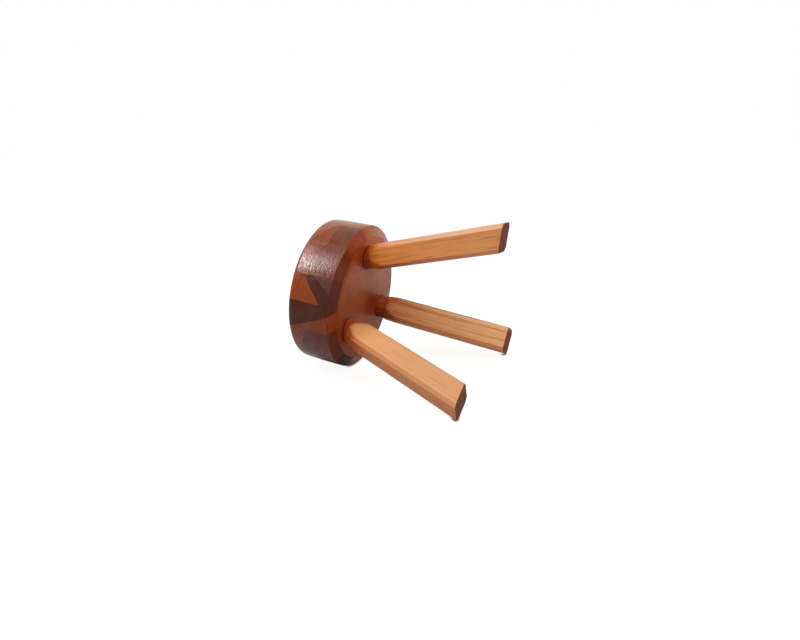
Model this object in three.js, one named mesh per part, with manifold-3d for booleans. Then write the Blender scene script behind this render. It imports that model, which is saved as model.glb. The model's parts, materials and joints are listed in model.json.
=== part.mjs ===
// Round three-legged stool of varnished hardwood: a thick seat pieced together from offcuts round and over
// one core block, on three splayed square legs whose turned ends are glued into blind sockets.
// Lengths are in millimetres and angles in degrees. +Z is up and the floor is z = 0. The origin is the
// middle of the box that the whole stool fills, at floor level; the legs reach out past the seat, so the
// seat's own axis stands a little to the front of it.
import * as THREE from 'three';
import { mergeVertices } from 'three/addons/utils/BufferGeometryUtils.js';
import Module from 'manifold-3d';

// Seat
const seatRadius = 130; // at the widest, just above the bevel
const seatThickness = 87;
const rimLean = 1.6; // how much nearer the axis the rim stands at its top
const topEdgeRound = 8.4;
const rimDepth = 18.7; // of the blocks round the core, and so of the bevel under them
const bevelRise = 9.2;
const topThickness = 18; // of the pieces laid on the core
const glueLine = 0.3; // left open between neighbouring pieces

// Legs
const undersideHeight = 239.3; // floor to the flat underside of the seat
const splay = 18.9; // lean of each leg from the upright
const socketCircle = 76.2; // radius at which the legs' axes meet the underside
const legDepth = 46.1; // towards the axis, at the foot
const legBreadth = 47.4; // across that, at the foot
const legTaper = 2.8; // both are this much less where the leg meets the seat
const legArris = 6.5; // chamfer along the four long edges
const tenonRadius = 20;
const tenonLength = 45; // above the underside, along the leg
const tenonChamfer = 2;
const neckLength = 31; // along the leg, from the round tenon to the full square
const shoulderGap = 1; // of straight neck between the underside and the start of the cone
const socketClearance = 0.3; // round the tenon and over its end

// Where each leg stands round the seat, and how far it is turned about its own axis
const legPlaces = {
  leg_right: { bearing: -31.7, twist: 9.1 },
  leg_back: { bearing: 90, twist: 0.4 },
  leg_left: { bearing: 209.6, twist: 0.3 },
};

// Smoothness of the round shapes
const seatSides = 96;
const legSides = 40;
const edgeSteps = 3; // pairs of steps round the top edge

// Woods of the pieces, with the colour under the varnish
const woods = {
  dark: { color: 0x552616, roughness: 0.3 },
  grey: { color: 0x6b3b2e, roughness: 0.32 },
  brown: { color: 0x763a21, roughness: 0.32 },
  red: { color: 0x853c1e, roughness: 0.3 },
  salmon: { color: 0x9b5c41, roughness: 0.34 },
  orange: { color: 0x974319, roughness: 0.34 },
  core: { color: 0xb1562f, roughness: 0.35 },
  leg: { color: 0xd49361, roughness: 0.42 },
};

// Blocks of the rim, in order round the seat. Each starts at a bearing and runs to the next one's start.
// A slant is a joint across the block: its height above the underside at the start and at the end of the
// block, in shares of the seat's thickness, the lowest slant first. The woods are from the underside up.
const rimBlocks = [
  { start: 193, slants: [[0.856, 0.577]], woods: ['grey', 'salmon'] },
  { start: 227, slants: [[0.926, -0.322]], woods: ['red', 'dark'] },
  { start: 249, slants: [[-0.195, 0.517], [0.287, 0.738]], woods: ['grey', 'dark', 'orange'] },
  { start: 269.6, slants: [], woods: ['red'] },
  { start: 295.5, slants: [[0.523, 0.523], [0.943, 0.615]], woods: ['brown', 'red', 'salmon'] },
  { start: 324, slants: [[0.21, 0.76]], woods: ['orange', 'salmon'] },
  { start: 350, slants: [], woods: ['brown'] },
  { start: 374, slants: [[0.69, -0.14], [1.1, 0.39]], woods: ['dark', 'orange', 'brown'] },
  { start: 400, slants: [[0.6, 0.46]], woods: ['red', 'dark'] },
  { start: 424, slants: [], woods: ['salmon'] },
  { start: 452, slants: [[-0.11, 0.67]], woods: ['dark', 'grey'] },
  { start: 477, slants: [[0.8, 0.25]], woods: ['brown', 'dark'] },
  { start: 503, slants: [], woods: ['red'] },
  { start: 529, slants: [[0.14, 0.55], [0.67, 1.06]], woods: ['dark', 'orange', 'grey'] },
];

// Joints of the pieces on top. Each is one straight cut right across what is left: the bearing that the
// cut faces, its distance from the seat's axis that way in shares of the top's radius, and what lies
// beyond it and on the near side.
const topJoints = joint(24, 0.11,
  joint(100, 0.16,
    joint(58, 0.67, joint(-30, 0.31, 'dark', 'grey'), joint(128, 0.2, 'orange', 'brown')),
    joint(-32, 0.63, joint(48, 0.05, 'salmon', 'brown'), joint(-58, 0.2, 'red', 'dark'))),
  joint(108, -0.13,
    joint(152, 0.47,
      joint(108, 0.27, joint(60, -0.05, 'red', 'brown'), joint(176, 0.76, 'orange', 'dark')),
      joint(84, 0.27, 'salmon', joint(142, 0.05, 'grey', 'brown'))),
    joint(214, 0.34,
      joint(250, 0.59, joint(222, 0.83, 'grey', 'dark'), joint(196, 0.45, 'salmon', 'red')),
      joint(290, 0.59, 'salmon', joint(272, 0.31, 'dark', 'orange')))));

const axisZ = new THREE.Vector3(0, 0, 1);
const cutReach = 8 * seatRadius; // longer than anything that a cut goes through
const rimInnerRadius = seatRadius - rimDepth;
const insideRadius = rimInnerRadius - glueLine; // of the core and of the pieces on it
const coreHeight = seatThickness - topThickness - glueLine;
const socketRadius = tenonRadius + socketClearance;
const socketDepth = tenonLength + socketClearance; // along the leg

const wasm = await Module();
wasm.setup();

// What lies beyond a cut, and on the near side of it
function joint(bearing, share, beyond, near) {
  return { bearing, share, beyond, near };
}

// A closed geometry as a solid that can be joined and cut
function solidOf(geometry) {
  const bare = new THREE.BufferGeometry();
  bare.setAttribute('position', geometry.getAttribute('position'));
  bare.setIndex(geometry.getIndex());
  const merged = mergeVertices(bare, 1e-4);
  return new wasm.Manifold(new wasm.Mesh({
    numProp: 3,
    vertProperties: merged.getAttribute('position').array,
    triVerts: new Uint32Array(merged.getIndex().array),
  }));
}

// A solid as a geometry, each face with its own normal
function geometryOf(solid) {
  const mesh = solid.getMesh();
  const indexed = new THREE.BufferGeometry();
  indexed.setAttribute('position', new THREE.BufferAttribute(mesh.vertProperties, mesh.numProp));
  indexed.setIndex(new THREE.BufferAttribute(mesh.triVerts, 1));
  const geometry = indexed.toNonIndexed();
  geometry.computeVertexNormals();
  return geometry;
}

function piece(name, wood, solid) {
  const finish = new THREE.MeshStandardMaterial({ ...woods[wood], metalness: 0 });
  const mesh = new THREE.Mesh(geometryOf(solid), finish);
  mesh.name = name;
  return mesh;
}

// Everything on the side that the plane faces, but for half a glue line
function sideOf(plane) {
  const block = new THREE.BoxGeometry(cutReach, cutReach, cutReach);
  block.translate(0, 0, (cutReach + glueLine) / 2);
  block.applyQuaternion(new THREE.Quaternion().setFromUnitVectors(axisZ, plane.normal));
  const foot = plane.coplanarPoint(new THREE.Vector3());
  block.translate(foot.x, foot.y, foot.z);
  return solidOf(block);
}

function turned(profile, sides) {
  const geometry = new THREE.LatheGeometry(profile, sides);
  geometry.rotateX(Math.PI / 2); // the profile's height becomes +Z
  return solidOf(geometry);
}

function facing(bearing) {
  const angle = THREE.MathUtils.degToRad(bearing);
  return new THREE.Vector3(Math.cos(angle), Math.sin(angle), 0);
}

// The whole rim before it is cut into blocks: bevel, leaning face and rounded top edge
function rimRing() {
  const upperRadius = seatRadius - rimLean;
  const roundHeight = seatThickness - topEdgeRound;
  const outline = new THREE.Path();
  outline.moveTo(rimInnerRadius, 0);
  outline.lineTo(seatRadius, bevelRise);
  outline.lineTo(upperRadius, roundHeight);
  outline.absarc(upperRadius - topEdgeRound, roundHeight, topEdgeRound, 0, Math.PI / 2, false);
  outline.lineTo(rimInnerRadius, seatThickness);
  outline.lineTo(rimInnerRadius, 0);
  return turned(outline.getPoints(edgeSteps), seatSides);
}

// The plane of a joint that runs from one place on the rim's face to another, towards the seat's middle
function slantPlane(startBearing, startShare, endBearing, endShare) {
  const middle = new THREE.Vector3(0, 0, seatThickness / 2);
  const start = facing(startBearing).multiplyScalar(seatRadius).setZ(startShare * seatThickness);
  const end = facing(endBearing).multiplyScalar(seatRadius).setZ(endShare * seatThickness);
  return new THREE.Plane().setFromCoplanarPoints(middle, start, end);
}

function rim() {
  const group = new THREE.Group();
  const ring = rimRing();
  const levels = [['whole'], ['lower', 'upper'], ['lower', 'middle', 'upper']];
  rimBlocks.forEach((block, index) => {
    const following = rimBlocks[index + 1] ?? { start: rimBlocks[0].start + 360 };
    const startFace = new THREE.Plane(facing(block.start + 90), 0);
    const endFace = new THREE.Plane(facing(following.start - 90), 0);
    let rest = ring.intersect(sideOf(startFace)).intersect(sideOf(endFace));
    block.woods.forEach((wood, level) => {
      const slant = block.slants[level];
      const name = `rim_block_${index + 1}_${levels[block.slants.length][level]}`;
      if (!slant) {
        group.add(piece(name, wood, rest));
        return;
      }
      const plane = slantPlane(block.start, slant[0], following.start, slant[1]);
      group.add(piece(name, wood, rest.intersect(sideOf(plane.clone().negate()))));
      rest = rest.intersect(sideOf(plane));
    });
  });
  return group;
}

function topPieces() {
  const group = new THREE.Group();
  const disc = turned([
    new THREE.Vector2(0, seatThickness - topThickness),
    new THREE.Vector2(insideRadius, seatThickness - topThickness),
    new THREE.Vector2(insideRadius, seatThickness),
    new THREE.Vector2(0, seatThickness),
  ], seatSides);
  const lay = (solid, content) => {
    if (typeof content === 'string') {
      group.add(piece(`top_piece_${group.children.length + 1}`, content, solid));
      return;
    }
    const plane = new THREE.Plane(facing(content.bearing), -content.share * insideRadius);
    lay(solid.intersect(sideOf(plane)), content.beyond);
    lay(solid.intersect(sideOf(plane.clone().negate())), content.near);
  };
  lay(disc, topJoints);
  return group;
}

// From a leg's own frame, +Z up along its axis from the underside, to the seat's frame
function legMatrix({ bearing, twist }) {
  const radians = THREE.MathUtils.degToRad;
  const matrix = new THREE.Matrix4().makeRotationZ(radians(bearing));
  matrix.multiply(new THREE.Matrix4().makeTranslation(socketCircle, 0, 0));
  matrix.multiply(new THREE.Matrix4().makeRotationY(radians(-splay)));
  return matrix.multiply(new THREE.Matrix4().makeRotationZ(radians(twist)));
}

// The core block, with a blind socket for each tenon
function core() {
  const block = turned([
    new THREE.Vector2(0, 0),
    new THREE.Vector2(insideRadius, 0),
    new THREE.Vector2(insideRadius, coreHeight),
    new THREE.Vector2(0, coreHeight),
  ], seatSides);
  const cutter = new THREE.CylinderGeometry(socketRadius, socketRadius, 2 * socketDepth, legSides);
  cutter.rotateX(Math.PI / 2);
  const drilled = Object.values(legPlaces).reduce((rest, place) => {
    const socket = solidOf(cutter.clone().applyMatrix4(legMatrix(place)));
    return rest.subtract(socket);
  }, block);
  return piece('seat_core', 'core', drilled);
}

// The square stock of a leg with its four edges planed off, narrowing from the foot up
function legStock(length) {
  const halfDepth = legDepth / 2;
  const halfBreadth = legBreadth / 2;
  const section = new THREE.Shape([
    new THREE.Vector2(halfDepth - legArris, halfBreadth),
    new THREE.Vector2(legArris - halfDepth, halfBreadth),
    new THREE.Vector2(-halfDepth, halfBreadth - legArris),
    new THREE.Vector2(-halfDepth, legArris - halfBreadth),
    new THREE.Vector2(legArris - halfDepth, -halfBreadth),
    new THREE.Vector2(halfDepth - legArris, -halfBreadth),
    new THREE.Vector2(halfDepth, legArris - halfBreadth),
    new THREE.Vector2(halfDepth, halfBreadth - legArris),
  ]);
  const reach = length + legDepth; // past the floor, where the foot is sawn off level
  const stock = new THREE.ExtrudeGeometry(section, { depth: reach + tenonLength, bevelEnabled: false });
  stock.translate(0, 0, -reach);
  const places = stock.getAttribute('position');
  for (let i = 0; i < places.count; i += 1) {
    const narrowing = (legTaper * (places.getZ(i) + length)) / length;
    places.setX(i, places.getX(i) * (1 - narrowing / legDepth));
    places.setY(i, places.getY(i) * (1 - narrowing / legBreadth));
  }
  return solidOf(stock);
}

// The round that the top of a leg is turned to: the tenon, then a cone out past the square's corners
function legTurning(length) {
  const neckTop = -socketRadius * Math.tan(THREE.MathUtils.degToRad(splay)) - shoulderGap;
  const cornerRadius = Math.hypot(legDepth / 2, legBreadth / 2 - legArris);
  const slope = (cornerRadius - tenonRadius) / neckLength;
  const wideRadius = legDepth + legBreadth;
  return turned([
    new THREE.Vector2(0, -2 * length),
    new THREE.Vector2(wideRadius, -2 * length),
    new THREE.Vector2(wideRadius, neckTop - (wideRadius - tenonRadius) / slope),
    new THREE.Vector2(tenonRadius, neckTop),
    new THREE.Vector2(tenonRadius, tenonLength - tenonChamfer),
    new THREE.Vector2(tenonRadius - tenonChamfer, tenonLength),
    new THREE.Vector2(0, tenonLength),
  ], legSides);
}

function legs() {
  const group = new THREE.Group();
  const length = undersideHeight / Math.cos(THREE.MathUtils.degToRad(splay));
  const blank = legStock(length).intersect(legTurning(length));
  for (const [name, place] of Object.entries(legPlaces)) {
    const matrix = legMatrix(place);
    const floor = new THREE.BoxGeometry(cutReach, cutReach, cutReach);
    floor.translate(0, 0, -undersideHeight - cutReach / 2);
    floor.applyMatrix4(matrix.clone().invert());
    const leg = piece(name, 'leg', blank.subtract(solidOf(floor)));
    leg.applyMatrix4(matrix);
    group.add(leg);
  }
  return group;
}

const seat = new THREE.Group();
seat.add(core(), rim(), topPieces());

const stool = new THREE.Group();
stool.add(seat, legs());
stool.position.z = undersideHeight;
const footprint = new THREE.Box3().setFromObject(stool, true);
stool.position.x = -(footprint.min.x + footprint.max.x) / 2;
stool.position.y = -(footprint.min.y + footprint.max.y) / 2;

export default stool;
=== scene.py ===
import json
import math
import random

import bmesh
import bpy
from mathutils import Matrix, Vector


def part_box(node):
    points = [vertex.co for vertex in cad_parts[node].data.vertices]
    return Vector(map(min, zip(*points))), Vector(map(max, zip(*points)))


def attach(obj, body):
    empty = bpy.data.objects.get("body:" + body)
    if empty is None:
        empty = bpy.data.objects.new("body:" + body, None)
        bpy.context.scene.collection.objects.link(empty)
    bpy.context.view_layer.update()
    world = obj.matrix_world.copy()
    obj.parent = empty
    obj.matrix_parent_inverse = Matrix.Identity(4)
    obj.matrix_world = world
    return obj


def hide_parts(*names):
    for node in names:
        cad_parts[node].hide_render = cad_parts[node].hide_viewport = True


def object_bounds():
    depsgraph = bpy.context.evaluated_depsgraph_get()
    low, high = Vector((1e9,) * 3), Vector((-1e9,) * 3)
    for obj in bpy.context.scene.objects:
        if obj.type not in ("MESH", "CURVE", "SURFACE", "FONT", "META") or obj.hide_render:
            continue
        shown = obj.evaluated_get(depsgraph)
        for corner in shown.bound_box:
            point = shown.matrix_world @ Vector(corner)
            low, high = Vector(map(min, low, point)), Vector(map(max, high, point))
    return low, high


# The looks of a round three-legged stool pieced together from varnished offcuts. It stands upright here, as
# it is used; the camera is rolled over and stands low, so that its picture shows the stool lying on its side.
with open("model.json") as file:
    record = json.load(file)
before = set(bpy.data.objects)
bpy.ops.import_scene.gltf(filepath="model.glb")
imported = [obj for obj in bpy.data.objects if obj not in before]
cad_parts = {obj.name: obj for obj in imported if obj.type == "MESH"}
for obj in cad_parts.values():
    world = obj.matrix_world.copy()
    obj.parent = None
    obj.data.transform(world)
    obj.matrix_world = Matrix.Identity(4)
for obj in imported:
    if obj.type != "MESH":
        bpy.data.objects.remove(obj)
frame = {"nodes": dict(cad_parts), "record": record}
cadLow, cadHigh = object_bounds()
mm = 0.001
body = "root"
nodes = frame["nodes"]
slotOf = {part["node"]: part["material_slot"] for part in frame["record"]["subparts"]}
print("frame loaded:", len(nodes), "pieces")


# Measures. The seat's middle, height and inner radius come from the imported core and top.

coreLow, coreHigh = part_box("seat_core")
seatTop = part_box("top_piece_1")[1].z - 0.004 * mm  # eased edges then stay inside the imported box
seatAxis = Vector(((coreLow.x + coreHigh.x) / 2, (coreLow.y + coreHigh.y) / 2, 0.0))
underside = coreLow.z
insideRadius = (coreHigh.x - coreLow.x) / 2
socketBearings = {"leg_right": -31.7, "leg_back": 90.0, "leg_left": 209.6}  # degrees round the seat


def clamp(value):
    return min(1.0, max(0.0, value))


def blended(first, second, share):
    return [x + (y - x) * share for x, y in zip(first, second)]


def shaded(value, tint, share):
    # a tint, times a second one where its share is full
    return [x * (1 + (y - 1) * share) for x, y in zip(value, tint)]


# Camera. Places are in metres, angles in degrees, the lens and its sensor in millimetres.

camera = {
    "aim": (-21.1 * mm, -1.6 * mm, 173.4 * mm),  # what stands in the middle of the picture
    "distance": 1.2674,
    "bearing": -95.76,  # where it stands, seen from the aim
    "elevation": -19.97,
    "roll": -76.46,
    "lens": 31.48,
    "sensor": 36.0,
}


def towards(bearing, elevation):
    flat = math.cos(math.radians(elevation))
    turn = math.radians(bearing)
    return Vector((flat * math.cos(turn), flat * math.sin(turn), math.sin(math.radians(elevation))))


def placeCamera():
    data = bpy.data.cameras.new("camera")
    data.lens = camera["lens"]
    data.sensor_width = camera["sensor"]
    data.sensor_fit = "HORIZONTAL"
    back = towards(camera["bearing"], camera["elevation"])
    obj = bpy.data.objects.new("camera", data)
    obj.rotation_mode = "QUATERNION"
    level = (-back).to_track_quat("-Z", "Y").to_matrix().to_4x4()
    roll = Matrix.Rotation(math.radians(camera["roll"]), 4, "Z")
    obj.matrix_world = Matrix.Translation(Vector(camera["aim"]) + back * camera["distance"]) @ level @ roll
    bpy.context.scene.collection.objects.link(obj)
    bpy.context.scene.camera = obj
    return obj


cameraObject = placeCamera()
bpy.context.view_layer.update()
print("camera stands at", [round(x, 3) for x in cameraObject.matrix_world.translation])


# Node trees

class Tap:
    # an output of a node tree, so that shader maths can be written as sums
    def __init__(self, recipe, socket):
        self.recipe = recipe
        self.socket = socket

    def maths(self, operation, first, second=0.0):
        return self.recipe.add("ShaderNodeMath", {"operation": operation}, {0: first, 1: second})

    def __getitem__(self, name):
        return Tap(self.recipe, self.socket.node.outputs[name])

    def __add__(self, other):
        return self.maths("ADD", self, other)

    def __radd__(self, other):
        return self.maths("ADD", other, self)

    def __sub__(self, other):
        return self.maths("SUBTRACT", self, other)

    def __rsub__(self, other):
        return self.maths("SUBTRACT", other, self)

    def __mul__(self, other):
        return self.maths("MULTIPLY", self, other)

    def __truediv__(self, other):
        return self.maths("DIVIDE", self, other)

    def __pow__(self, other):
        return self.maths("POWER", self, other)

    def fraction(self):
        return self.maths("FRACT", self)

    def clamped(self):
        return self.recipe.add("ShaderNodeClamp", {}, {"Value": self})

    def step(self, low, high):
        # 0 up to low and 1 from high on, with a soft change between
        inputs = {"Value": self, "From Min": low, "From Max": high}
        return self.recipe.add("ShaderNodeMapRange", {"interpolation_type": "SMOOTHSTEP"}, inputs)


class Recipe:
    # the node tree of a finish, a floor or the surroundings
    def __init__(self, tree):
        self.tree = tree
        tree.nodes.clear()

    def add(self, kind, settings=None, inputs=None, output=0):
        node = self.tree.nodes.new(kind)
        for name, value in (settings or {}).items():
            setattr(node, name, value)
        for name, value in (inputs or {}).items():
            if isinstance(value, Tap):
                self.tree.links.new(value.socket, node.inputs[name])
            else:
                node.inputs[name].default_value = value
        return Tap(self, node.outputs[output]) if node.outputs else node

    def mix(self, factor, first, second, blend="MIX"):
        settings = {"data_type": "RGBA", "blend_type": blend}
        return self.add("ShaderNodeMix", settings, {0: factor, 6: first, 7: second}, output=2)

    def stretch(self, vector, amounts):
        return self.add("ShaderNodeVectorMath", {"operation": "MULTIPLY"}, {0: vector, 1: amounts})

    def noise(self, vector, scale=1.0, detail=2.0, roughness=0.5):
        inputs = {"Vector": vector, "Scale": scale, "Detail": detail, "Roughness": roughness}
        return self.add("ShaderNodeTexNoise", {"noise_dimensions": "3D"}, inputs)


def colour(red, green, blue):
    return (red, green, blue, 1.0)


def newMaterial(name):
    material = bpy.data.materials.new(name)
    material.use_nodes = True
    return material, Recipe(material.node_tree)


# Woods. Rings are so many millimetres wide. Three numbers stretch a kind of mark: how fast it changes with
# each millimetre along the grain and in the two ways across it.

plainWood = {  # what a wood has unless it says otherwise
    "warp": 5.0,  # how far slow changes push the rings about
    "bands": (0.3, 0.65),  # tones of the plank between which its rings come to show
    "lines": (0.014, 0.3, 0.3),  # dark lines along the grain
    "lineShare": 1.2,
    "roughness": 0.21,
    "density": 1.3,  # index of refraction
    "sandingBump": 0.14,  # height in millimetres
    "marks": (0.09, 0.3, 0.3),  # of sanding
}
figure = {  # what all woods share
    "warp": (0.006, 0.05, 0.05),
    "fibre": (0.025, 1.0, 1.0),
    "pores": (0.05, 1.0, 1.0),
    "tone": (0.008, 0.05, 0.05),
    "lateWood": (0.35, 0.95),  # share of a ring at which its dark part starts and ends
    "poreEdge": (0.6, 0.72),
    "toneEdge": (0.35, 0.7),
}
edgeBandFade = 9.0  # degrees over which a band along the edge ends
coreStainsAndLight = [  # stains, painted light and shade; bearings in degrees, lengths in millimetres
    # painted shadow of the back leg, on the underside beside its socket
    {"bearing": 88, "radius": 34, "reach": 48, "tint": (0.66, 0.32, 0.2)},
    {"bearing": 216, "radius": 78, "reach": 58, "tint": (0.85, 0.58, 0.4)},
    {"bearing": 246, "radius": 82, "reach": 42, "tint": (0.86, 0.78, 0.5)},
    {"bearing": 308, "radius": 94, "reach": 30, "tint": (0.88, 0.56, 0.3)},
    # this patch and the next are painted reflection: a pale sheen where the underside mirrors its
    # surroundings
    {"bearing": 35, "radius": 66, "reach": 66, "tint": (1.32, 2.0, 2.6)},
    {"bearing": 318, "radius": 46, "reach": 32, "tint": (1.28, 1.55, 1.5)},
    {"bearing": 316, "radius": 109, "reach": 26, "tint": (0.98, 0.72, 0.1)},
    {"bearing": 262, "turn": 42, "radii": (97, 110), "tint": (0.68, 0.64, 0.5)},
    # painted shade, dimming the reflection on the rounded edge
    {"bearing": 106, "turn": 20, "radii": (92, 106), "tint": (0.76, 0.55, 0.45)},
    # painted light, a lighter band near the edge
    {"bearing": 347, "turn": 20, "radii": (84, 99), "tint": (1.34, 1.4, 1.1)},
]
for socketBearing in socketBearings.values():  # darker rings round the sockets: painted shade where the legs meet the underside
    coreStainsAndLight.append({"bearing": socketBearing, "radius": 76, "start": 20, "reach": 26,
                       "tint": (0.55, 0.4, 0.35)})
woodLooks = {
    "dark_brown_wood": {
        "wood": colour(0.085, 0.017, 0.007), "deep": colour(0.036, 0.007, 0.004),
        "pale": colour(0.14, 0.036, 0.018), "rings": 5.2, "ringShare": 0.5, "poreShare": 0.35,
    },
    "grey_brown_wood": {
        "wood": colour(0.148, 0.043, 0.026), "deep": colour(0.07, 0.018, 0.01),
        "pale": colour(0.23, 0.08, 0.055), "rings": 4.4, "ringShare": 0.5, "poreShare": 0.4,
    },
    "mid_brown_wood": {
        "wood": colour(0.19, 0.042, 0.014), "deep": colour(0.095, 0.018, 0.006),
        "pale": colour(0.28, 0.075, 0.03), "rings": 5.6, "ringShare": 0.45, "poreShare": 0.35,
    },
    "red_brown_wood": {
        "wood": colour(0.25, 0.047, 0.013), "deep": colour(0.13, 0.02, 0.006),
        "pale": colour(0.35, 0.082, 0.03), "rings": 5.0, "ringShare": 0.45, "poreShare": 0.35,
    },
    "salmon_wood": {
        "wood": colour(0.34, 0.11, 0.054), "deep": colour(0.2, 0.052, 0.022),
        "pale": colour(0.44, 0.17, 0.095), "rings": 6.2, "ringShare": 0.4, "poreShare": 0.25,
    },
    "orange_wood": {
        "wood": colour(0.32, 0.057, 0.009), "deep": colour(0.19, 0.028, 0.005),
        "pale": colour(0.43, 0.1, 0.022), "rings": 6.6, "ringShare": 0.35, "poreShare": 0.2,
    },
    "core_wood": {
        "wood": colour(0.45, 0.095, 0.028), "deep": colour(0.28, 0.05, 0.012),
        "pale": colour(0.54, 0.135, 0.045), "rings": 7.2, "ringShare": 0.3, "poreShare": 0.2,
        "roughness": 0.32, "stains": coreStainsAndLight,
    },
    "leg_wood": {
        "wood": colour(0.72, 0.31, 0.115), "deep": colour(0.44, 0.14, 0.042),
        "pale": colour(0.76, 0.36, 0.14), "rings": 5.0, "ringShare": 0.15, "poreShare": 0.3,
        "lines": (0.03, 0.3, 0.3), "lineShare": 1.9, "roughness": 0.42, "density": 1.2,
    },
}
varnish = {  # lengths in millimetres
    "spread": 0.8,  # how much the roughness changes with the sanding marks, on the rim and elsewhere
    "calmSpread": 0.15,
    "fibreBump": 0.02,
    "planingBump": 0.03,  # on the core and the legs
    "crown": 0.0004,  # rounding of the rim's face, about its middle height
    "crownMiddle": 48.0,
    "dome": 0.0085,  # rounding of the underside, from this radius out
    "domeStart": 88.0,
}


def woodColour(recipe, look, grain):
    # growth rings, fibres, pores and slow changes of tone, from where a point lies in the plank
    parts = recipe.add("ShaderNodeSeparateXYZ", {}, {0: grain})
    warp = recipe.noise(recipe.stretch(grain, figure["warp"]))
    fromPith = (parts["Y"] * parts["Y"] + parts["Z"] * parts["Z"]) ** 0.5
    ring = (fromPith / look["rings"] + warp * look["warp"]).fraction()
    start, end = figure["lateWood"]
    lateWood = ring.step(start, end) * (1 - ring.step(end, 1.0))
    fibre = recipe.noise(recipe.stretch(grain, figure["fibre"]), scale=1.3, detail=3.0, roughness=0.6)
    lines = recipe.noise(recipe.stretch(grain, look["lines"]), detail=1.5)
    pores = recipe.noise(recipe.stretch(grain, figure["pores"]), scale=2.6, detail=1.0)
    tone = recipe.noise(recipe.stretch(grain, figure["tone"]))
    dark = lateWood * look["ringShare"] * tone.step(*look["bands"]) + (0.5 - fibre) * 0.5
    dark = dark + pores.step(*figure["poreEdge"]) * look["poreShare"] + (0.5 - lines) * look["lineShare"]
    base = recipe.mix(tone.step(*figure["toneEdge"]) * 0.5, look["wood"], look["pale"])
    return recipe.mix(dark.clamped(), base, look["deep"]), fibre


def rimSwell(recipe, around):
    # height of the crowned face over a straight one, in millimetres
    height = recipe.add("ShaderNodeSeparateXYZ", {}, {0: around})["Y"]
    return (height - varnish["crownMiddle"]) ** 2 * -varnish["crown"]


def placeOnSeat(recipe):
    # out from the seat's axis, in millimetres, as a vector and as a radius
    place = recipe.add("ShaderNodeTexCoord", output="Object")
    place = recipe.add("ShaderNodeVectorMath", {"operation": "SUBTRACT"}, {0: place, 1: seatAxis})
    place = recipe.stretch(place, (1 / mm, 1 / mm, 0.0))
    return place, recipe.add("ShaderNodeVectorMath", {"operation": "LENGTH"}, {0: place}, output="Value")


def coreSwell(recipe, around):
    radius = placeOnSeat(recipe)[1]
    over = radius.maths("MAXIMUM", radius - varnish["domeStart"], 0.0)
    return over * over * -varnish["dome"]


def paintStainsAndLight(recipe, base, look):
    # round patches, rings from a start to a reach and bands along the edge: stains, painted shade and
    # reflection
    place, radius = placeOnSeat(recipe)
    for patch in look["stains"]:
        way = towards(patch["bearing"], 0.0)
        if "reach" in patch:
            spot = {0: place, 1: way * patch["radius"]}
            away = recipe.add("ShaderNodeVectorMath", {"operation": "DISTANCE"}, spot, output="Value")
            share = 1 - away.step(patch.get("start", 0.0), patch["reach"])
        else:
            ahead = recipe.add("ShaderNodeVectorMath", {"operation": "DOT_PRODUCT"}, {0: place, 1: way},
                               output="Value")
            ends = [math.cos(math.radians(patch["turn"] + soft)) for soft in (edgeBandFade, -edgeBandFade)]
            share = (ahead / radius).step(*ends) * radius.step(*patch["radii"])
        base = recipe.mix(share, base, colour(*patch["tint"]), "MULTIPLY")
    return base


def noSwell(recipe, around):
    return 0.0


def woodFinish(name, look, swell):
    look = {**plainWood, **look}
    material, recipe = newMaterial(name)
    grain = recipe.add("ShaderNodeAttribute", {"attribute_name": "grain"}, output="Vector")
    base, fibre = woodColour(recipe, look, grain)
    tint = recipe.add("ShaderNodeAttribute", {"attribute_name": "tint"}, output="Vector")
    base = recipe.mix(1.0, base, tint, "MULTIPLY")
    # stains, painted shade and painted reflection on the underside
    if "stains" in look:
        base = paintStainsAndLight(recipe, base, look)
    around = recipe.add("ShaderNodeAttribute", {"attribute_name": "around"}, output="Vector")
    if swell is rimSwell:
        marked, depth, spread = around, look["sandingBump"], varnish["spread"]
    else:
        marked, depth, spread = grain, varnish["planingBump"], varnish["calmSpread"]
    sanding = recipe.noise(recipe.stretch(marked, look["marks"]), roughness=0.6)
    height = fibre * varnish["fibreBump"] + sanding * depth + swell(recipe, around)
    bump = recipe.add("ShaderNodeBump", {}, {"Strength": 1.0, "Distance": mm, "Height": height})
    rough = (look["roughness"] + (sanding - 0.5) * spread).clamped()
    surface = recipe.add("ShaderNodeBsdfPrincipled", {}, {
        "Base Color": base, "Roughness": rough, "Normal": bump, "IOR": look["density"],
    })
    recipe.add("ShaderNodeOutputMaterial", {}, {"Surface": surface})
    return material


swells = {"core_wood": coreSwell, "leg_wood": noSwell}
finishes = {slot: woodFinish(slot, look, swells.get(slot, rimSwell)) for slot, look in woodLooks.items()}
print("wood finishes:", len(finishes))


# Shapes of the seat

seat = {
    "radius": 130 * mm,
    "rimDepth": 18.7 * mm,
    "bevelRise": 9.2 * mm,
    "lean": 1.8 * mm,  # how much nearer the axis the rim would be at the very top
    "topRound": 8.4 * mm,
    "arrisRound": 1.1 * mm,
    "crown": 0.44 * mm,  # how far the rim's face swells between arris and top
    "step": 1.25,  # degrees between the corners of the turned shapes
    "rows": 8,  # up the face of the rim
    "bevelRows": (0.3, 0.6, 0.84, 0.92),  # shares of the bevel's width
    "aboveArris": 0.018,  # share of the face
    "arrisSteps": 5,
    "topSteps": 10,
    "glueLine": 0.3 * mm,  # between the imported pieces
    "hairline": 0.05 * mm,  # between the pieces here
    "softEdge": 0.16 * mm,
    "tintBlend": 1.6 * mm,  # height over which the bevel's tint gives way to the face's
    "onOutline": 1.0 * mm,  # a packed face nearer than this to the outline is part of the turned surface
    "facesRound": 0.1,  # unless more than this share of its normal points round the seat
    "samePlane": 0.05 * mm,  # faces that are this level with each other and as parallel are one joint
    "sameWay": 0.9999,
}


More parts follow.
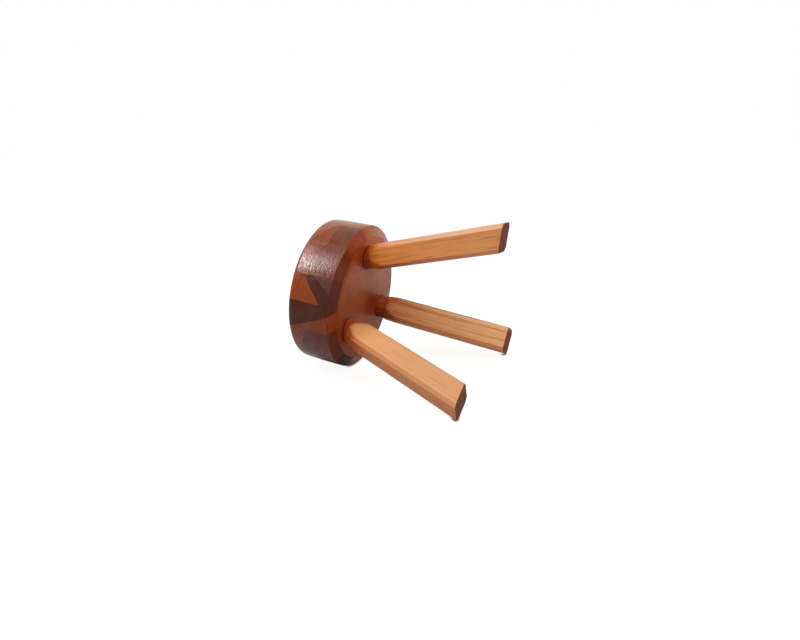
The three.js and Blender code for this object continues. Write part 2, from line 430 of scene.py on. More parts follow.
def filleted(before, corner, after, radius, steps):
    # points of the arc that rounds a corner of an outline
    toBefore = (before - corner).normalized()
    toAfter = (after - corner).normalized()
    half = toBefore.angle(toAfter) / 2
    centre = corner + (toBefore + toAfter).normalized() * radius / math.sin(half)
    start = corner + toBefore * radius / math.tan(half) - centre
    end = corner + toAfter * radius / math.tan(half) - centre
    points = []
    for i in range(steps + 1):
        share = i / steps
        points.append(centre + (start.lerp(end, share)).normalized() * radius)
    return points


def rimOutline():
    # across the rim, from its inner bottom edge out and up: pairs of radius and height
    thickness = seatTop - underside
    inner = seat["radius"] - seat["rimDepth"]
    low = Vector((inner, 0.0))
    arris = Vector((seat["radius"], seat["bevelRise"]))
    top = Vector((seat["radius"] - seat["lean"], thickness))
    innerTop = Vector((inner, thickness))
    points = [low]
    points += [low.lerp(arris, share) for share in seat["bevelRows"]]
    points += filleted(low, arris, top, seat["arrisRound"], seat["arrisSteps"])
    points.append(arris.lerp(top, seat["aboveArris"]))
    for i in range(seat["rows"] - 1):
        share = (i + 1) / (seat["rows"] + 1)
        swell = seat["crown"] * 4 * share * (1 - share)
        points.append(arris.lerp(top, share) + Vector((swell, 0.0)))
    points += filleted(arris, top, innerTop, seat["topRound"], seat["topSteps"])
    points.append(innerTop)
    return points


def discOutline(low, high):
    return [Vector(corner) for corner in ((0.0, low), (insideRadius, low), (insideRadius, high), (0.0, high))]


def seatPoint(radius, bearing, height):
    return seatAxis + Vector((radius * math.cos(bearing), radius * math.sin(bearing), underside + height))


def nearOutline(point, outline):
    # distance from a pair of radius and height to a closed outline
    gaps = []
    for i, start in enumerate(outline):
        along = outline[(i + 1) % len(outline)] - start
        share = clamp((point - start).dot(along) / max(along.length_squared, 1e-12))
        gaps.append((start + along * share - point).length)
    return min(gaps)


def jointPlanes(node, outline):
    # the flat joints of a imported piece, as a point and an outward normal each
    groups = []
    for face in nodes[node].data.polygons:
        normal, middle = face.normal.copy(), face.center.copy()
        for group in groups:
            level = abs((middle - group["point"]).dot(normal)) < seat["samePlane"]
            if level and group["normal"].dot(normal) > seat["sameWay"]:
                group["area"] += face.area
                group["sum"] += middle * face.area
                break
        else:
            groups.append({"normal": normal, "point": middle, "area": face.area, "sum": middle * face.area})
    planes = []
    for group in groups:
        middle = group["sum"] / group["area"] - seatAxis
        section = Vector((math.hypot(middle.x, middle.y), middle.z - underside))
        around = abs(group["normal"].cross(middle).z) / max(section.x, 0.01 * mm)
        if around > seat["facesRound"] or nearOutline(section, outline) > seat["onOutline"]:
            planes.append((group["point"], group["normal"]))
    return planes


def bearingsOf(node):
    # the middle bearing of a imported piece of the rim, and how far it reaches to either side
    places = [vertex.co - seatAxis for vertex in nodes[node].data.vertices]
    total = sum(places, Vector())
    middle = math.atan2(total.y, total.x)
    turns = [(math.atan2(p.y, p.x) - middle + math.pi) % (2 * math.pi) - math.pi for p in places]
    return middle, min(turns), max(turns)


def turnedSector(outline, start, end):
    mesh = bmesh.new()
    steps = max(2, round((end - start) / math.radians(seat["step"])))
    rings = []
    for i in range(steps + 1):
        bearing = start + (end - start) * i / steps
        rings.append([mesh.verts.new(seatPoint(p.x, bearing, p.y)) for p in outline])
    count = len(outline)
    for i in range(steps):
        for j in range(count):
            k = (j + 1) % count
            mesh.faces.new((rings[i][j], rings[i + 1][j], rings[i + 1][k], rings[i][k]))
    mesh.faces.new(rings[0])
    mesh.faces.new(list(reversed(rings[-1])))
    return mesh


def turnedDisc(low, high):
    mesh = bmesh.new()
    count = round(360 / seat["step"])
    rings = []
    for height in (low, high):
        rings.append([mesh.verts.new(seatPoint(insideRadius, 2 * math.pi * i / count, height))
                      for i in range(count)])
    for i in range(count):
        j = (i + 1) % count
        mesh.faces.new((rings[0][i], rings[0][j], rings[1][j], rings[1][i]))
    mesh.faces.new(list(reversed(rings[0])))
    mesh.faces.new(rings[1])
    return mesh


def cutAway(mesh, point, normal):
    # what lies beyond the plane goes, and the cut is closed; the joint is left a hairline open
    shift = (seat["glueLine"] - seat["hairline"]) / 2
    everything = mesh.verts[:] + mesh.edges[:] + mesh.faces[:]
    cut = bmesh.ops.bisect_plane(mesh, geom=everything, dist=1e-7, plane_co=point + normal * shift,
                                 plane_no=normal, clear_outer=True)
    edges = [part for part in cut["geom_cut"] if isinstance(part, bmesh.types.BMEdge)]
    if edges:
        bmesh.ops.edgeloop_fill(mesh, edges=edges)


def softened(name, mesh, width, angle=30.0):
    # the mesh with its sharp edges eased, and normals that keep its flat faces flat
    bmesh.ops.recalc_face_normals(mesh, faces=mesh.faces[:])
    raw = bpy.data.meshes.new(name)
    mesh.to_mesh(raw)
    mesh.free()
    raw.shade_smooth()
    obj = bpy.data.objects.new(name, raw)
    bpy.context.scene.collection.objects.link(obj)
    ease = obj.modifiers.new("ease", "BEVEL")
    ease.width = width
    ease.segments = 2
    ease.limit_method = "ANGLE"
    ease.angle_limit = math.radians(angle)
    weigh = obj.modifiers.new("weigh", "WEIGHTED_NORMAL")
    weigh.keep_sharp = True
    shown = obj.evaluated_get(bpy.context.evaluated_depsgraph_get())
    obj.data = bpy.data.meshes.new_from_object(shown)
    obj.modifiers.clear()
    obj.data.name = name
    return obj


def nameAttribute(obj, name, values):
    layer = obj.data.attributes.new(name, "FLOAT_VECTOR", "POINT")
    layer.data.foreach_set("vector", [x for value in values for x in value])


def layGrain(obj, direction, normal, pith, offset):
    # each point's place in the plank that the piece was cut from, in millimetres: along the grain,
    # then two ways across it, measured from the tree's middle
    along = direction.normalized()
    across = normal.cross(along).normalized()
    depth = along.cross(across)
    middle = sum((vertex.co for vertex in obj.data.vertices), Vector()) / len(obj.data.vertices)
    values = []
    for vertex in obj.data.vertices:
        place = (vertex.co - middle) / mm
        values.append((place.dot(along) + offset, place.dot(across) + pith[0], place.dot(depth) + pith[1]))
    nameAttribute(obj, "grain", values)


def layTint(obj, tint):
    nameAttribute(obj, "tint", [tint] * len(obj.data.vertices))


def layRimTint(obj, face, bevel, shades):
    # the bevel, under the arris, is tinted lighter and warmer than the face
    values = []
    wear = rim["wear"]
    first, last = (math.radians(turn) for turn in wear["bearings"])
    spots = [(seatPoint(shade["radius"] * mm, math.radians(shade["bearing"]), shade["height"] * mm), shade)
             for shade in shades]
    for vertex in obj.data.vertices:
        height = vertex.co.z - underside - seat["bevelRise"]
        value = blended(bevel, face, clamp(height / seat["tintBlend"] + 0.5))
        for spot, shade in spots:
            away = (vertex.co - spot).length / (shade["reach"] * mm)
            value = shaded(value, shade["tint"], math.exp(-away * away))
        place = vertex.co - seatAxis
        # a painted highlight: a pale line along part of the arris
        if first < math.atan2(place.y, place.x) % (2 * math.pi) < last:
            value = shaded(value, wear["tint"], clamp(1 - abs(height) / wear["reach"]))
        values.append(value)
    nameAttribute(obj, "tint", values)


def layAround(obj, middle):
    # place round the turned seat, height and radius, in millimetres, for the marks that sanding leaves
    values = []
    for vertex in obj.data.vertices:
        place = vertex.co - seatAxis
        turn = (math.atan2(place.y, place.x) - middle + math.pi) % (2 * math.pi) - math.pi
        height = (place.z - underside) / mm
        values.append((turn * seat["radius"] / mm, height, math.hypot(place.x, place.y) / mm))
    nameAttribute(obj, "around", values)


def finishPiece(obj, node, finish=None):
    obj.data.materials.append(finish or finishes[slotOf[node]])
    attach(obj, body)
    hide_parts(node)


# Rim. The tilt of the grain is in degrees, up from the level.

rim = {
    "margin": 2.0,  # degrees of spare rim beyond a piece, before its joints are cut
    "tilts": {"rim_block_4_whole": -24.0},
    "tiltSpread": 12.0,
    "tints": {
        "rim_block_1_lower": (1.03, 0.89, 0.87), "rim_block_1_upper": (0.75, 0.57, 0.52),
        "rim_block_2_lower": (1.03, 1.07, 1.27), "rim_block_2_upper": (1.0, 0.8, 0.6),
        "rim_block_3_lower": (0.79, 0.83, 0.75), "rim_block_3_middle": (0.92, 0.68, 0.45),
        "rim_block_3_upper": (0.97, 0.85, 0.35), "rim_block_4_whole": (0.56, 0.57, 0.8),
        "rim_block_5_lower": (0.9, 0.84, 0.65), "rim_block_5_middle": (1.02, 1.15, 0.8),
        "rim_block_5_upper": (0.91, 0.76, 0.58), "rim_block_6_lower": (0.92, 1.2, 2.4),
        # block 14 lower is darkened: painted shade of its contact with the lying floor
        "rim_block_6_upper": (0.96, 0.7, 0.3), "rim_block_14_lower": (0.45, 0.2, 0.2),
    },
    "tintSpread": 0.08,
    "bevelTints": {  # times the tint of the face
        "rim_block_1_lower": (1.24, 0.76, 0.46), "rim_block_2_upper": (1.64, 1.5, 1.12),
        "rim_block_2_lower": (1.35, 0.98, 0.44), "rim_block_3_lower": (1.26, 0.6, 0.2),
        "rim_block_3_middle": (1.84, 1.36, 0.4), "rim_block_4_whole": (1.37, 1.1, 0.19),
        "rim_block_5_lower": (1.98, 1.08, 0.0), "rim_block_6_lower": (1.62, 1.75, 0.12),
        "rim_block_7_whole": (4.1, 6.2, 9.8), "rim_block_13_whole": (2.5, 4.5, 7.4),
        # with its face tint, the bevel of block 14 lower is painted shade of the floor contact
        "rim_block_14_lower": (2.6, 1.2, 0.3),
    },
    "bevelTint": (1.7, 1.35, 0.7),
    "shades": [  # places where the colour changes within a piece, and spots of painted shade, with radius, height and reach in mm
        {"node": "rim_block_4_whole", "bearing": 268, "radius": 130, "height": 70, "reach": 17,
         "tint": (1.6, 2.0, 1.3)},
        {"node": "rim_block_4_whole", "bearing": 270, "radius": 130, "height": 52, "reach": 15,
         "tint": (1.35, 1.5, 1.1)},
        {"node": "rim_block_4_whole", "bearing": 290, "radius": 129, "height": 77, "reach": 14,
         "tint": (2.1, 4.0, 5.0)},
        {"node": "rim_block_7_whole", "bearing": 348, "radius": 118, "height": 4, "reach": 26,
         "tint": (0.72, 0.56, 0.5)},
        {"node": "rim_block_6_lower", "bearing": 325, "radius": 117, "height": 3, "reach": 16,
         "tint": (0.86, 0.62, 0.4)},
        {"node": "rim_block_3_upper", "bearing": 269, "radius": 129, "height": 68, "reach": 4,
         "tint": (0.55, 0.8, 1.5)},
        {"node": "rim_block_3_upper", "bearing": 268, "radius": 129, "height": 62, "reach": 3.5,
         "tint": (0.35, 0.5, 1.0)},
        # this spot and the next are painted shade, dark where the rim touches the lying floor
        {"node": "rim_block_14_lower", "bearing": 181, "radius": 127, "height": 7, "reach": 14,
         "tint": (0.45, 0.35, 0.35)},
        {"node": "rim_block_13_whole", "bearing": 165, "radius": 129, "height": 10, "reach": 9,
         "tint": (0.3, 0.25, 0.25)},
    ],
    "wear": {"bearings": (281, 297), "tint": (2.6, 4.4, 7.0), "reach": 0.75 * mm},  # a painted highlight along the arris
    "coarse": ["rim_block_4_whole"],  # sanded with a coarser grit than the others
    "pith": (30.0, 70.0),
    "seed": 11,
}
coarseLook = {
    **woodLooks["red_brown_wood"], "sandingBump": 0.42, "marks": (0.09, 0.25, 0.25), "roughness": 0.27,
}


def makeRim():
    coarse = woodFinish("red_brown_wood_coarse", coarseLook, rimSwell)
    outline = rimOutline()
    dice = random.Random(rim["seed"])
    made = []
    for node in sorted(name for name in nodes if name.startswith("rim_block_")):
        middle, first, last = bearingsOf(node)
        margin = math.radians(rim["margin"])
        mesh = turnedSector(outline, middle + first - margin, middle + last + margin)
        for point, normal in jointPlanes(node, outline):
            cutAway(mesh, point, normal)
        obj = softened(node.replace("rim_block", "rim_offcut"), mesh, seat["softEdge"])
        tilt = math.radians(rim["tilts"].get(node, dice.uniform(-1, 1) * rim["tiltSpread"]))
        outward = Vector((math.cos(middle), math.sin(middle), 0.0))
        tangent = Vector((-outward.y, outward.x, 0.0))
        direction = tangent * math.cos(tilt) + Vector((0, 0, math.sin(tilt)))
        pith = [side * dice.choice((-1, 1)) * dice.uniform(0.6, 1.4) for side in rim["pith"]]
        layGrain(obj, direction, outward, pith, dice.uniform(0, 900))
        shade = 1 + dice.uniform(-1, 1) * rim["tintSpread"]
        face = rim["tints"].get(node, (shade, shade, shade))
        bevel = rim["bevelTints"].get(node, rim["bevelTint"])
        shades = [shade for shade in rim["shades"] if shade["node"] == node]
        layRimTint(obj, face, [x * y for x, y in zip(face, bevel)], shades)
        layAround(obj, middle)
        finishPiece(obj, node, coarse if node in rim["coarse"] else None)
        made.append(obj)
    return made


print("rim:", len(makeRim()), "offcuts")


# Top of the seat

topLook = {
    "tintSpread": 0.1,
    "pith": (40.0, 55.0),
    "seed": 23,
}


def makeTop():
    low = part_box("top_piece_1")[0].z - underside
    high = seatTop - underside
    outline = discOutline(low, high)
    dice = random.Random(topLook["seed"])
    made = []
    for node in sorted(name for name in nodes if name.startswith("top_piece_")):
        mesh = turnedDisc(low, high)
        planes = jointPlanes(node, outline)
        for point, normal in planes:
            cutAway(mesh, point, normal)
        obj = softened(node.replace("top_piece", "top_offcut"), mesh, seat["softEdge"])
        along = Vector((0, 0, 1)).cross(dice.choice(planes)[1])  # the grain follows one of its joints
        pith = [side * dice.choice((-1, 1)) * dice.uniform(0.6, 1.4) for side in topLook["pith"]]
        layGrain(obj, along, Vector((0, 0, 1)), pith, dice.uniform(0, 900))
        shade = 1 + dice.uniform(-1, 1) * topLook["tintSpread"]
        layTint(obj, (shade, shade, shade))
        layAround(obj, 0.0)
        finishPiece(obj, node)
        made.append(obj)
    return made


print("top:", len(makeTop()), "offcuts")


# Legs. A leg's own axis runs up into the seat, with 0 at the underside.

leg = {
    # Tints at the foot and by the neck: plain ones, and those of the sides that face a turn, in degrees.
    # A slowness below 1 draws the figure out along the leg, and a turned of -1 mirrors it across.
    # The tints are partly the wood's colour and partly painted light: sides lighter or darker as the light
    # falls,
    # painted shade and warm bounce light by the neck under the seat, and a painted highlight on an arris.
    "places": {
        "leg_right": {
            "twist": 9.1, "slowness": 0.6,
            "plain": ((1.2, 1.15, 1.19), (1.07, 0.69, 0.3)),
            "sides": {
                # by the neck this side turns nearly black: painted shade under the seat
                225: ((1.3, 1.3, 1.8), (0.35, 0.02, 0.0)),
                270: ((1.2, 1.09, 1.04), (1.1, 0.68, 0.1)),
                315: ((1.1, 1.5, 2.35), (0.85, 0.5, 0.05)),
            },
        },
        "leg_back": {
            "twist": 0.4, "slowness": 0.25, "finish": "lined", "turned": -1,
            "plain": ((1.45, 1.65, 1.9), (0.95, 0.77, 0.6)),
            "sides": {
                90: ((1.73, 1.85, 2.1), (1.42, 1.65, 2.4)),
                135: ((1.66, 1.75, 2.1), (0.65, 0.25, 0.12)),
                180: ((1.62, 1.9, 2.25), (1.01, 0.83, 0.78)),
                225: ((1.3, 1.75, 2.5), (0.63, 0.34, 0.2)),
            },
        },
        "leg_left": {
            "twist": 0.3, "slowness": 0.5, "finish": "calm",
            "plain": ((1.18, 1.26, 1.46), (1.1, 0.9, 0.6)),
            "sides": {
                0: ((1.1, 1.0, 1.04), (0.75, 0.2, 0.0)),
                45: ((1.18, 1.22, 1.32), (1.25, 0.8, 0.3)),
                # sides 60 and 75 lie on the rounded arris: the pale line there is a painted highlight
                60: ((1.3, 1.9, 2.8), (1.3, 1.3, 1.1)),
                75: ((1.36, 2.3, 3.8), (1.38, 1.8, 2.2)),
                90: ((1.11, 1.25, 1.52), (1.42, 1.45, 1.3)),
                135: ((1.05, 1.27, 1.7), (1.3, 1.4, 1.4)),
                315: ((1.1, 1.0, 1.04), (0.75, 0.2, 0.0)),
            },
        },
    },
    "splay": 18.9,
    "socketCircle": 76.2 * mm,
    "depth": 46.1 * mm,
    "breadth": 47.4 * mm,
    "taper": 2.8 * mm,
    "arris": 6.5 * mm,
    "arrisRound": 0.9 * mm,
    "tenonRadius": 20.0 * mm,
    "tenonLength": 45.0 * mm,
    "tenonChamfer": 2.0 * mm,
    "neckLength": 31.0 * mm,
    "shoulderGap": 1.0 * mm,
    "socketClearance": 0.3 * mm,
    "acrossFace": 22,  # steps across a face, across a chamfer and round a corner
    "acrossArris": 4,
    "roundCorner": 3,
    "downLeg": 28,
    "downNeck": 12,
    "collarRows": (0.75, 0.5, 0.25, 0.0),  # between the neck's end and the underside
    "crease": 1.3 * mm,  # half the width of the soft edge between the turned neck and the square
    "creaseReach": 1.6,  # how far its rows go beyond it
    "soleEase": 0.7 * mm,
    "soleRows": ((0.0, 1.0), (0.15, 0.45), (0.45, 0.12), (1.0, 0.0)),  # up and in, in shares of that
    "soleFaces": 2,
    "pith": (8.0, 64.0),
    "coneTint": (0.78, 0.48, 0.3),  # of the turned part
    "turnedBlend": 14.0 * mm,  # over which one tint gives way to the other
    "collarTint": (0.56, 0.22, 0.12),  # of its end by the seat, and where that starts and is full
    "collar": (-18.0 * mm, -9.0 * mm),
    "jointTint": (0.35, 0.2, 0.15),  # painted shade on the last of it, right at the seat
    "jointReach": 3.0 * mm,
    "soleTint": (0.95, 0.95, 1.05),
    "soleEdgeTint": (0.45, 0.4, 0.4),
    "seed": 5,
}
splay = math.radians(leg["splay"])
legLength = underside / math.cos(splay)
neckTop = -(leg["tenonRadius"] + leg["socketClearance"]) * math.tan(splay) - leg["shoulderGap"]
cornerRadius = math.hypot(leg["depth"] / 2, leg["breadth"] / 2 - leg["arris"])
coneSlope = (cornerRadius - leg["tenonRadius"]) / leg["neckLength"]


def legMatrix(node):
    matrix = Matrix.Translation(seatAxis + Vector((0, 0, underside)))
    matrix = matrix @ Matrix.Rotation(math.radians(socketBearings[node]), 4, "Z")
    matrix = matrix @ Matrix.Translation((leg["socketCircle"], 0, 0))
    matrix = matrix @ Matrix.Rotation(-splay, 4, "Y")
    return matrix @ Matrix.Rotation(math.radians(leg["places"][node]["twist"]), 4, "Z")


def legSection():
    # the square with its edges planed off, at the foot: points round it with softened corners, and the
    # turn in degrees that the side faces at each
    halfDepth, halfBreadth, arris = leg["depth"] / 2, leg["breadth"] / 2, leg["arris"]
    corners = [(halfDepth, halfBreadth - arris), (halfDepth - arris, halfBreadth)]
    corners += [(-x, y) for x, y in reversed(corners)]
    corners += [(-x, -y) for x, y in corners]
    corners = [Vector(corner) for corner in corners]
    arcs = []
    for i, corner in enumerate(corners):
        following = corners[(i + 1) % len(corners)]
        arcs.append(filleted(corners[i - 1], corner, following, leg["arrisRound"], leg["roundCorner"]))
    points, turns = [], []
    for i, arc in enumerate(arcs):
        points += arc
        turns += [45 * (i + j / leg["roundCorner"]) for j in range(len(arc))]
        start, end = arc[-1], arcs[(i + 1) % len(arcs)][0]
        steps = leg["acrossArris"] if i % 2 == 0 else leg["acrossFace"]
        points += [start.lerp(end, j / steps) for j in range(1, steps)]
        turns += [45 * (i + 1)] * (steps - 1)
    return points, turns


def squarePoint(corner, along):
    # the square narrows on its way up
    narrowing = leg["taper"] * (along + legLength) / legLength
    return Vector((corner.x * (1 - narrowing / leg["depth"]), corner.y * (1 - narrowing / leg["breadth"])))


def sidePoint(corner, along):
    # a point of the square, drawn in to the turned cone where that is smaller, with a soft crease
    flat = squarePoint(corner, along)
    square = flat.length
    soft = leg["crease"] * coneSlope
    gap = square - leg["tenonRadius"] - max(0.0, neckTop - along) * coneSlope
    if gap > soft:
        flat *= (square - gap) / square
    elif gap > -soft:
        flat *= 1 - (gap + soft) ** 2 / (4 * soft) / square
    return Vector((flat.x, flat.y, along))


def footPoint(matrix, corner, height, ease):
    # where a column of the leg reaches a height over the floor, drawn in by the easing of the sole
    def at(along):
        flat = squarePoint(corner, along) * (1 - ease / corner.length)
        return Vector((flat.x, flat.y, along))

    high, low = matrix @ at(0.0), matrix @ at(-legLength)
    return at(-legLength * (height - high.z) / (low.z - high.z))


def evenly(start, end, steps):
    return [start + (end - start) * i / steps for i in range(1, steps + 1)]


def legColumn(matrix, corner, crease):
    # one line of points up a leg, from its sole to the end of its tenon
    points = []
    for rise, inset in leg["soleRows"]:
        points.append(footPoint(matrix, corner, rise * leg["soleEase"], inset * leg["soleEase"]))
    reach = leg["crease"] * leg["creaseReach"]
    alongs = evenly(points[-1].z, crease - reach, leg["downLeg"])
    alongs += [crease + reach * share for share in (-0.5, 0.0, 0.5, 1.0)]
    alongs += evenly(crease + reach, neckTop, leg["downNeck"])
    alongs += [neckTop * share for share in leg["collarRows"]]
    alongs.append(leg["tenonLength"] - leg["tenonChamfer"])
    points += [sidePoint(corner, along) for along in alongs]
    end = sidePoint(corner, leg["tenonLength"])
    inner = 1 - leg["tenonChamfer"] / leg["tenonRadius"]
    return points + [Vector((end.x * inner, end.y * inner, end.z))]


def sideTint(place, turn, nearness):
    # tint, painted light and shade included, of the side facing a turn: one at the foot, giving way to one by
    # the neck
    sides = {side: place["plain"] for side in range(0, 360, 45)}
    sides.update(place["sides"])
    sides[360] = sides[0]
    turn %= 360
    before = max(side for side in sides if side <= turn and side < 360)
    after = min(side for side in sides if side > before)
    share = (turn - before) / (after - before)
    foot, neck = [blended(*pair, share) for pair in zip(sides[before], sides[after])]
    return blended(foot, neck, nearness)


def legTint(place, turn, row, point, crease, below):
    if row == 0:
        return leg["soleTint"]
    if row <= leg["soleFaces"]:
        return leg["soleEdgeTint"]
    turnedShare = clamp((point.z - crease) / leg["turnedBlend"] + 0.5)
    low, high = leg["collar"]
    collarShare = clamp((point.z - low) / (high - low))
    collarShare = collarShare * collarShare * (3 - 2 * collarShare) * turnedShare
    tint = sideTint(place, turn, clamp(1 + point.z / legLength) ** 3)
    tint = blended(tint, leg["coneTint"], turnedShare)
    tint = blended(tint, leg["collarTint"], collarShare)
    # painted shade where the neck meets the seat
    return shaded(tint, leg["jointTint"], clamp(1 - below / leg["jointReach"]))


def makeLeg(node, place, dice):
    matrix = legMatrix(node)
    section, turns = legSection()
    mesh = bmesh.new()
    points, tints, columns = [], [], []
    for corner, turn in zip(section, turns):
        crease = neckTop - (squarePoint(corner, neckTop).length - leg["tenonRadius"]) / coneSlope
        column = legColumn(matrix, corner, crease)
        columns.append([mesh.verts.new(point) for point in column])
        points += column
        for row, point in enumerate(column):
            tints.append(legTint(place, turn, row, point, crease, underside - (matrix @ point).z))
    for i, column in enumerate(columns):
        following = columns[(i + 1) % len(columns)]
        for j in range(len(column) - 1):
            face = mesh.faces.new((column[j], following[j], following[j + 1], column[j + 1]))
            face.smooth = True
            face.material_index = 1 if j < leg["soleFaces"] else 0
    sole = mesh.faces.new([column[0] for column in reversed(columns)])
    sole.material_index = 1
    mesh.faces.new([column[-1] for column in columns])
    mesh.transform(matrix)
    data = bpy.data.meshes.new(node)
    mesh.to_mesh(data)
    mesh.free()
    obj = bpy.data.objects.new(node.replace("leg_", "square_leg_"), data)
    bpy.context.scene.collection.objects.link(obj)
    offset = dice.uniform(0, 900)
    slow, side = place["slowness"], place.get("turned", 1)
    nameAttribute(obj, "grain", [(p.z / mm * slow + offset, p.x / mm + leg["pith"][0],
                                  p.y / mm * side + leg["pith"][1]) for p in points])
    nameAttribute(obj, "tint", tints)
    nameAttribute(obj, "around", [(p.z / mm, p.x / mm, p.y / mm) for p in points])
    return obj


soleLook = {
    "wood": colour(0.34, 0.11, 0.07), "deep": colour(0.12, 0.03, 0.022),
    "pale": colour(0.52, 0.25, 0.19), "rings": 4.4, "ringShare": 0.8, "poreShare": 0.4,
    "roughness": 0.7, "density": 1.08,
}
linedLook = {
    **woodLooks["leg_wood"], "deep": colour(0.36, 0.11, 0.035), "rings": 3.7, "warp": 1.2, "ringShare": 0.7,
    "bands": (0.15, 0.5), "lineShare": 2.6,
}
calmLook = {**woodLooks["leg_wood"], "lineShare": 0.8}


def makeLegs():
    dice = random.Random(leg["seed"])
    soleFinish = woodFinish("leg_end_grain", soleLook, noSwell)
    legFinishes = {
        "lined": woodFinish("leg_wood_lined", linedLook, noSwell),
        "calm": woodFinish("leg_wood_calm", calmLook, noSwell),
    }
    made = []
    for node, place in leg["places"].items():
        obj = makeLeg(node, place, dice)
        finishPiece(obj, node, legFinishes.get(place.get("finish")))
        obj.data.materials.append(soleFinish)
        made.append(obj)
    return made


print("legs:", len(makeLegs()))


# Core block, with a blind socket for each tenon

core = {
    "socketDepth": leg["tenonLength"] + leg["socketClearance"],
    "socketRadius": leg["tenonRadius"] + leg["socketClearance"],
    "socketSides": 96,
    "softEdge": 0.14 * mm,
    "softAngle": 40.0,
    "grainBearing": 62.0,
    "grainOffset": 120.0,
    "pith": (45.0, 30.0),
}


def makeCore():
    mesh = turnedDisc(0.0, coreHigh.z - coreLow.z)
    bmesh.ops.recalc_face_normals(mesh, faces=mesh.faces[:])
    data = bpy.data.meshes.new("core")
    mesh.to_mesh(data)
    mesh.free()
    block = bpy.data.objects.new("core", data)
    bpy.context.scene.collection.objects.link(block)
    cutters = []
    for node in leg["places"]:
        drill = bmesh.new()
        radius, depth = core["socketRadius"], 2 * core["socketDepth"]
        bmesh.ops.create_cone(drill, cap_ends=True, segments=core["socketSides"], radius1=radius,
                              radius2=radius, depth=depth)
        drill.transform(legMatrix(node))
        shape = bpy.data.meshes.new("drill")
        drill.to_mesh(shape)
        drill.free()
        cutter = bpy.data.objects.new("drill", shape)
        bpy.context.scene.collection.objects.link(cutter)
        hole = block.modifiers.new("socket", "BOOLEAN")
        hole.operation = "DIFFERENCE"
        hole.solver = "EXACT"
        hole.object = cutter
        cutters.append(cutter)
    bpy.context.view_layer.update()
    drilled = bmesh.new()
    shown = block.evaluated_get(bpy.context.evaluated_depsgraph_get())
    drilled.from_mesh(shown.to_mesh())
    shown.to_mesh_clear()
    for cutter in cutters + [block]:
        bpy.data.objects.remove(cutter)
    obj = softened("core_block", drilled, core["softEdge"], core["softAngle"])
    layGrain(obj, towards(core["grainBearing"], 0.0), Vector((0, 0, 1)), core["pith"], core["grainOffset"])
    layTint(obj, (1.0, 1.0, 1.0))
    layAround(obj, 0.0)
    finishPiece(obj, "seat_core")


makeCore()
print("core block, drilled")


# Floor, surroundings and lamps. The picture shows the stool lying on its side, so that floor is the plane
# that touches the rim and two feet; it and the floor under the feet are each seen from their own side only.

stage = {
    "lyingBearing": 150.0,  # which side of the stool is down in the picture
    "lyingTilt": 20.0,  # at most, either way; it is found by halving
    "halvings": 30,
    "lyingOn": ["leg_back", "leg_left"],
    "floorReach": 3.0,
    "clearance": 0.4 * mm,
    "floorColour": colour(0.92, 0.91, 0.9),
    "dimmed": colour(0.258, 0.255, 0.252),  # the part of it that shows the shadows
    "glow": 0.9,  # share of plain white in the floor, so that its shadows stay faint
    "contact": 6 * mm,  # how far the dark of a touching part spreads
    "openness": (0.25, 0.9),  # how much of the sky a place sees where it is darkest and fully white
    "bounce": colour(0.45, 0.45, 0.45),  # how much light the floor under the lying stool sends back
    "white": colour(1.0, 1.0, 1.0),
    "fill": 0.43,  # light from all round
}


def reachOf(names, direction):
    return max(vertex.co.dot(direction) for name in names for vertex in nodes[name].data.vertices)


def lyingPlane():
    # the tilt at which the rim and the two lower legs reach equally far
    rims = [name for name in nodes if name.startswith("rim_block_")]
    low, high = -stage["lyingTilt"], stage["lyingTilt"]
    for _ in range(stage["halvings"]):
        tilt = (low + high) / 2
        down = towards(stage["lyingBearing"], -tilt)
        if reachOf(rims, down) > reachOf(stage["lyingOn"], down):
            low = tilt
        else:
            high = tilt
    return down, reachOf(rims, down)


def floorFinish(name):
    # seen from above only: white with faint shadows to the camera, matt to a mirror, dimmer to other light
    material, recipe = newMaterial(name)
    matt, dimmed, bounced = [recipe.add("ShaderNodeBsdfDiffuse", {}, {"Color": stage[part]})
                             for part in ("floorColour", "dimmed", "bounce")]
    openness = recipe.add("ShaderNodeAmbientOcclusion", {"samples": 12}, {"Distance": stage["contact"]},
                          output="AO").step(*stage["openness"])
    glow = {"Color": stage["white"], "Strength": openness * stage["glow"]}
    white = recipe.add("ShaderNodeEmission", {}, glow)
    plain = recipe.add("ShaderNodeAddShader", {}, {0: dimmed, 1: white})
    path = recipe.add("ShaderNodeLightPath")
    shown = recipe.add("ShaderNodeMixShader", {}, {0: path["Is Camera Ray"], 1: matt, 2: plain})
    shown = recipe.add("ShaderNodeMixShader", {}, {0: path["Is Diffuse Ray"], 1: shown, 2: bounced})
    behind = recipe.add("ShaderNodeNewGeometry", output="Backfacing")
    clear = recipe.add("ShaderNodeBsdfTransparent")
    oneSided = recipe.add("ShaderNodeMixShader", {}, {0: behind, 1: shown, 2: clear})
    recipe.add("ShaderNodeOutputMaterial", {}, {"Surface": oneSided})
    return material


def makeFloor(name, down, distance):
    mesh = bmesh.new()
    bmesh.ops.create_grid(mesh, x_segments=4, y_segments=4, size=stage["floorReach"])
    turn = (-down).to_track_quat("Z", "Y").to_matrix().to_4x4()
    middle = (cadLow + cadHigh) / 2
    onPlane = middle + down * (distance + stage["clearance"] - middle.dot(down))
    mesh.transform(Matrix.Translation(onPlane) @ turn)
    data = bpy.data.meshes.new(name)
    mesh.to_mesh(data)
    mesh.free()
    data.materials.append(floorFinish(name))
    obj = bpy.data.objects.new(name, data)
    bpy.context.scene.collection.objects.link(obj)
    obj.visible_shadow = False
    return obj


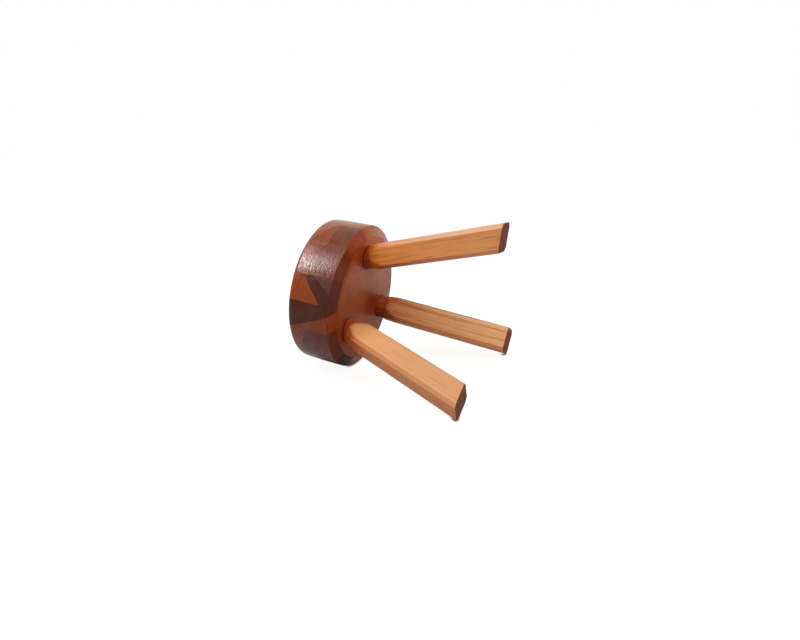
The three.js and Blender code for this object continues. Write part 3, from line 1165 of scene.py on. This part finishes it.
def makeWorld():
    world = bpy.data.worlds.new("surroundings")
    world.use_nodes = True
    bpy.context.scene.world = world
    recipe = Recipe(world.node_tree)
    path = recipe.add("ShaderNodeLightPath")
    seen = (path["Is Camera Ray"] + path["Is Glossy Ray"] + path["Is Transmission Ray"]).clamped()
    strength = seen * (1 - stage["fill"]) + stage["fill"]
    light = recipe.add("ShaderNodeBackground", {}, {"Color": stage["white"], "Strength": strength})
    recipe.add("ShaderNodeOutputWorld", {}, {"Surface": light})


# Lamps, placed as the picture shows them: how far to the right, down and away from the camera they lie,
# and how much of a white card's brightness each gives. Some only light the wood, some only mirror in it.

lamps = {
    "overhead": {"way": (0.2, -0.8, -0.56), "side": 1.0, "share": 0.3},
    "key": {"way": (-0.68, -0.62, -0.4), "side": 0.6, "share": 0.34, "mirrored": False},
    "window": {"way": (-0.7, -0.6, -0.38), "side": 0.46, "share": 0.9, "lights": False},
    "haze": {"way": (-0.56, -0.74, -0.38), "side": 1.4, "share": 0.32, "lights": False},
    "pane": {"way": (-0.56, -0.7, -0.42), "side": 0.55, "share": 0.25, "lights": False,
             "tone": (1.0, 0.76, 0.75)},
    "rear": {"way": (-0.54, 0.44, 0.72), "side": 0.8, "share": 0.1},
}
lampDistance = 1.7


def makeLamp(name, look):
    data = bpy.data.lights.new(name, "AREA")
    data.shape = "SQUARE"
    data.size = look["side"]
    data.energy = look["share"] * (math.pi * lampDistance) ** 2
    data.color = look.get("tone", (1.0, 1.0, 1.0))
    turn = cameraObject.matrix_world.to_3x3()
    right, down, away = look["way"]
    way = (turn @ Vector((right, -down, -away))).normalized()
    obj = bpy.data.objects.new(name, data)
    obj.rotation_mode = "QUATERNION"
    obj.rotation_quaternion = way.to_track_quat("Z", "Y")
    obj.location = Vector(camera["aim"]) + way * lampDistance
    obj.visible_glossy = look.get("mirrored", True)
    obj.visible_diffuse = look.get("lights", True)
    bpy.context.scene.collection.objects.link(obj)


down, distance = lyingPlane()
makeFloor("lying_floor", down, distance)
uprightFloor = makeFloor("upright_floor", Vector((0, 0, -1)), 0.0)
uprightFloor.visible_glossy = False
uprightFloor.visible_diffuse = False
makeWorld()
for lampName, lampLook in lamps.items():
    makeLamp(lampName, lampLook)
bpy.context.scene.view_settings.view_transform = "Standard"
print("stage: lying floor faces", [round(x, 3) for x in down])
